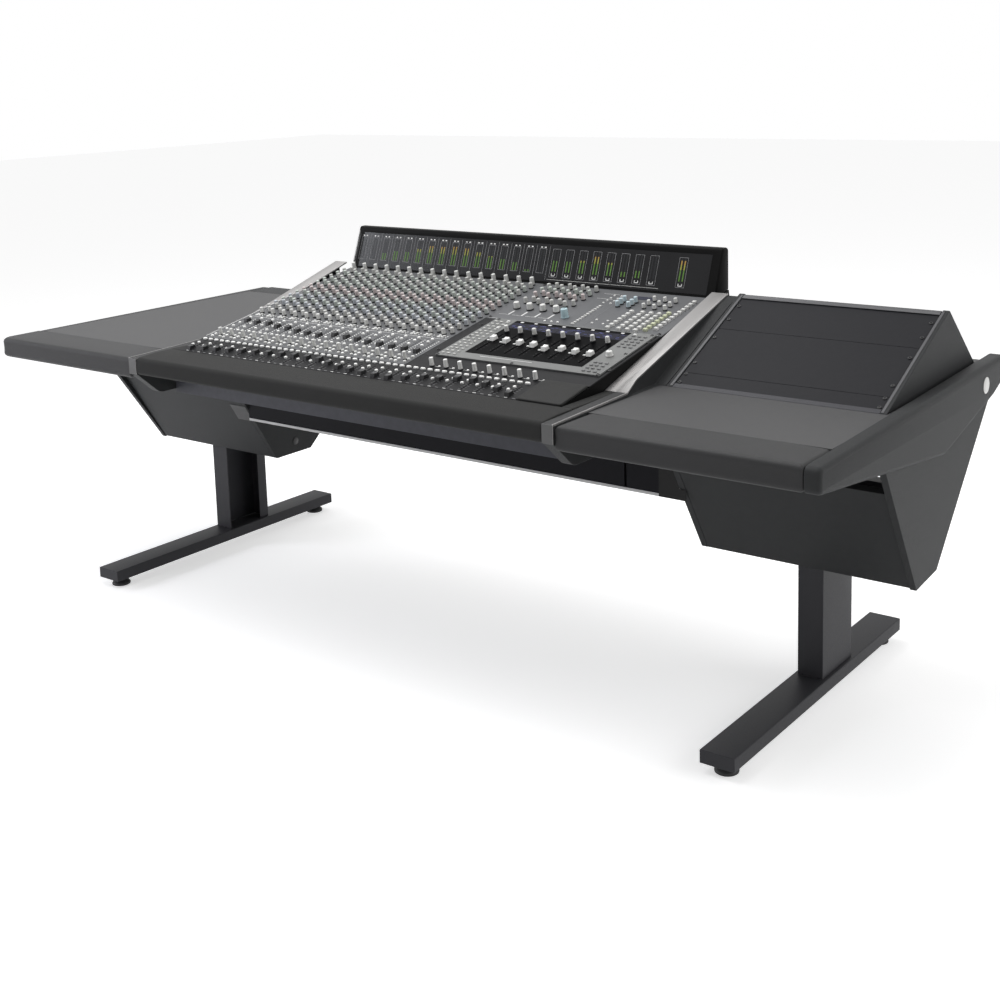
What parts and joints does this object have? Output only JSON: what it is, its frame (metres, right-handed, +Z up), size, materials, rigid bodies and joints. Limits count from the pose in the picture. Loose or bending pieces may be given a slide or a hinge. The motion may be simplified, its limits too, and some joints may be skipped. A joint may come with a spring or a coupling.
{
  "type": "studio desk",
  "caption": "Wide studio desk on two pedestal legs, with a mixing console in the centre bay, a padded armrest and a rack turret on the right side desk.",
  "frame": {"origin": "on the floor, in the middle of the desk's width and depth", "axes": "+X to the user's right as they sit at the desk, +Y away from the user, +Z up"},
  "size_m": [2.49, 1.026, 0.9786],
  "materials": {
    "steel": "black powder coat, fine texture",
    "board": "board wrapped in dark grey textured vinyl",
    "laminate": "dark grey matt laminate",
    "padding": "padded, dark textured leatherette",
    "silver": "brushed satin",
    "rail": "matt grey",
    "housing": "dark moulded housing with electronics",
    "panel_grey": "satin grey paint",
    "panel_dark": "satin black paint",
    "rack_panel": "dark grey fine powder coat",
    "screen": "dark gloss",
    "cap": "off-white moulded",
    "blue_knob": "pale blue moulded",
    "foot": "black moulded pad"
  },
  "bodies": {
    "desk": {"foot_bar_left": "steel", "foot_bar_right": "steel", "leg_column_left": "steel", "leg_column_right": "steel", "rear_crossbeam": "steel", "apron_panel": "steel", "apron_end": "steel", "rack_rail_left": "steel", "rack_rail_right": "steel", "arm_left": "board", "arm_right": "board", "side_panel_left": "board", "side_panel_right": "board", "pod_front_left": "board", "pod_front_right": "board", "pod_inner_side_left": "board", "pod_inner_side_right": "board", "cheek_left": "board", "cheek_right": "board", "console_tray": "board", "rear_strip_left": "board", "turret_side_left": "board", "turret_side_right": "board", "turret_bottom_strip": "board", "turret_back": "board", "side_top_left": "laminate", "side_top_right": "laminate", "bolster_left": "padding", "bolster_right": "padding", "centre_armrest": "padding", "leather_pad": "padding", "cheek_trim_left": "silver", "cheek_trim_right": "silver", "turret_top_strip": "silver", "controller_frame": "silver", "front_rail": "rail", "console_chassis": "housing", "meter_bridge": "housing", "channel_panel": "panel_grey", "master_panel": "panel_grey", "fader_panel": "panel_dark", "rack_panel_1u": "rack_panel", "rack_panel_4u": "rack_panel", "rack_panel_3u": "rack_panel", "controller_screen": "screen", "meter_glass": "screen"},
    "levelling_foot_front_left": {"levelling_foot_front_left": "foot"},
    "levelling_foot_front_right": {"levelling_foot_front_right": "foot"},
    "levelling_foot_rear_left": {"levelling_foot_rear_left": "foot"},
    "levelling_foot_rear_right": {"levelling_foot_rear_right": "foot"},
    "controller_fader_1": {"controller_fader_1": "cap"},
    "controller_fader_2": {"controller_fader_2": "cap"},
    "controller_fader_3": {"controller_fader_3": "cap"},
    "controller_fader_4": {"controller_fader_4": "cap"},
    "controller_fader_5": {"controller_fader_5": "cap"},
    "controller_fader_6": {"controller_fader_6": "cap"},
    "controller_fader_7": {"controller_fader_7": "cap"},
    "controller_fader_8": {"controller_fader_8": "cap"},
    "monitor_knob": {"monitor_knob": "blue_knob"},
    "jog_knob": {"jog_knob": "cap"}
  },
  "joints": [
    {"name": "foot_front_left_height", "type": "slide", "parent": "desk", "child": "levelling_foot_front_left", "axis": [0, 0, 1], "range_m": [-0.012, 0]},
    {"name": "foot_front_right_height", "type": "slide", "parent": "desk", "child": "levelling_foot_front_right", "axis": [0, 0, 1], "range_m": [-0.012, 0]},
    {"name": "foot_rear_left_height", "type": "slide", "parent": "desk", "child": "levelling_foot_rear_left", "axis": [0, 0, 1], "range_m": [-0.012, 0]},
    {"name": "foot_rear_right_height", "type": "slide", "parent": "desk", "child": "levelling_foot_rear_right", "axis": [0, 0, 1], "range_m": [-0.012, 0]},
    {"name": "fader_1_slide", "type": "slide", "parent": "desk", "child": "controller_fader_1", "axis": [0, 0.9816, 0.1908], "range_m": [-0.066, 0.034]},
    {"name": "fader_2_slide", "type": "slide", "parent": "desk", "child": "controller_fader_2", "axis": [0, 0.9816, 0.1908], "range_m": [-0.061, 0.039]},
    {"name": "fader_3_slide", "type": "slide", "parent": "desk", "child": "controller_fader_3", "axis": [0, 0.9816, 0.1908], "range_m": [-0.059, 0.041]},
    {"name": "fader_4_slide", "type": "slide", "parent": "desk", "child": "controller_fader_4", "axis": [0, 0.9816, 0.1908], "range_m": [-0.056, 0.044]},
    {"name": "fader_5_slide", "type": "slide", "parent": "desk", "child": "controller_fader_5", "axis": [0, 0.9816, 0.1908], "range_m": [-0.043, 0.057]},
    {"name": "fader_6_slide", "type": "slide", "parent": "desk", "child": "controller_fader_6", "axis": [0, 0.9816, 0.1908], "range_m": [-0.052, 0.048]},
    {"name": "fader_7_slide", "type": "slide", "parent": "desk", "child": "controller_fader_7", "axis": [0, 0.9816, 0.1908], "range_m": [-0.046, 0.054]},
    {"name": "fader_8_slide", "type": "slide", "parent": "desk", "child": "controller_fader_8", "axis": [0, 0.9816, 0.1908], "range_m": [-0.044, 0.056]},
    {"name": "monitor_knob_turn", "type": "hinge", "parent": "desk", "child": "monitor_knob", "pos_m": [0.305, 0.06337, 0.81968], "axis": [0, -0.1908, 0.9816], "range_deg": [-150, 150]},
    {"name": "jog_knob_turn", "type": "hinge", "parent": "desk", "child": "jog_knob", "pos_m": [0.562, -0.13296, 0.78152], "axis": [0, -0.1908, 0.9816], "continuous": true}
  ]
}
